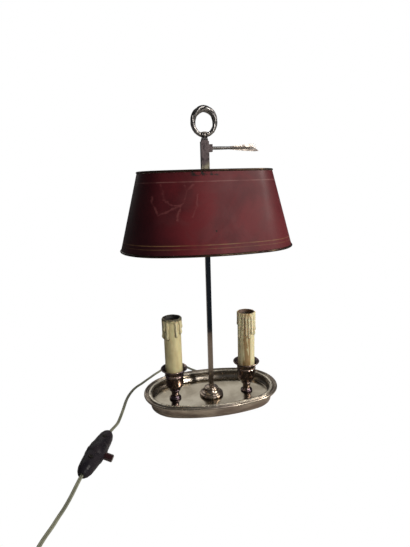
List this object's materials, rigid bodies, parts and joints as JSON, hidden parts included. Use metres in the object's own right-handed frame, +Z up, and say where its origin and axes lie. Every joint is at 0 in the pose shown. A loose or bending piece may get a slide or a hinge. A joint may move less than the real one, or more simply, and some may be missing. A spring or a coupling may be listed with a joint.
{
  "type": "bouillotte lamp",
  "caption": "Table lamp with an oval metal tray, electric candles in flared cups, and a painted oval shade that slides on a square stem under a ring handle and clamps by an arrow screw.",
  "frame": {"origin": "on the table, under the middle of the tray", "axes": "+Z up along the stem, +X along the tray towards the arrow screw, +Y to the cord's exit"},
  "size_m": [0.3442, 0.4667, 0.4366],
  "materials": {
    "silver_plate": "worn silver plate, satin to mirror",
    "relief_plate": "worn silver plate in relief",
    "hardboard": "plain board",
    "felt": "felt",
    "tarnished_plate": "tarnished silver plate, glossy",
    "dark_stem": "dark tarnish, glossy",
    "steel": "plain steel",
    "gunmetal": "dark tarnish, glossy",
    "bronze": "dark bronze, satin",
    "tole": "painted, worn gloss, thin gilt lines",
    "edge_gilt": "tarnished gilt",
    "brass": "plain brass",
    "holder_black": "moulded, glossy",
    "sleeve_olive": "wax look, sooty",
    "sleeve_cream": "wax look, stained",
    "wire_cover": "soft insulation",
    "terminal_white": "moulded",
    "bush_black": "soft, matt",
    "flex_olive": "flat twin flex, satin",
    "tie_black": "soft, matt",
    "switch_black": "moulded, glossy",
    "bar_red": "moulded, glossy",
    "plug_black": "moulded, satin",
    "pin_metal": "plated pins"
  },
  "bodies": {
    "root": {"base_tray": "silver_plate", "tray_floor": "silver_plate", "rim_moulding": "relief_plate", "base_cover": "hardboard", "felt_pad": "felt", "stem_foot": "tarnished_plate", "stem_rod": "dark_stem", "stem_nut": "brass", "finial_ring": "gunmetal", "candle_cup_left": "tarnished_plate", "candle_cup_right": "tarnished_plate", "screwed_tubes": "brass", "tube_nuts": "steel", "holder_brackets": "steel", "lampholders": "holder_black", "lamp_threads": "brass", "lamp_contacts": "brass", "candle_sleeve_left": "sleeve_olive", "candle_sleeve_right": "sleeve_cream", "wire_left": "wire_cover", "wire_right": "wire_cover", "terminal_block": "terminal_white", "cord_bush": "bush_black", "cord_lead": "flex_olive", "cord_tail": "flex_olive", "cord_end": "flex_olive", "cord_coil": "flex_olive", "coil_tie": "tie_black", "switch_upper_shell": "switch_black", "switch_lower_shell": "switch_black", "switch_screws": "brass", "switch_contacts": "brass", "plug_body": "plug_black", "plug_pins": "pin_metal"},
    "shade_carrier": {"carrier_sleeve": "dark_stem", "shade_spider": "steel", "shade_shell": "tole", "shade_top_wire": "edge_gilt", "shade_bottom_wire": "edge_gilt"},
    "clamp_screw": {"arrow_screw": "bronze"},
    "push_bar": {"switch_bar": "bar_red"}
  },
  "joints": [
    {"name": "shade_slide", "type": "slide", "parent": "root", "child": "shade_carrier", "axis": [0, 0, 1], "range_m": [-0.11, 0]},
    {"name": "clamp_turn", "type": "hinge", "parent": "shade_carrier", "child": "clamp_screw", "pos_m": [0.0105, 0, 0.3804], "axis": [1, 0, 0], "range_deg": [0, 540]},
    {"name": "switch_push", "type": "slide", "parent": "root", "child": "push_bar", "axis": [0.9009, -0.3049, -0.309], "range_m": [-0.008, 0]}
  ]
}
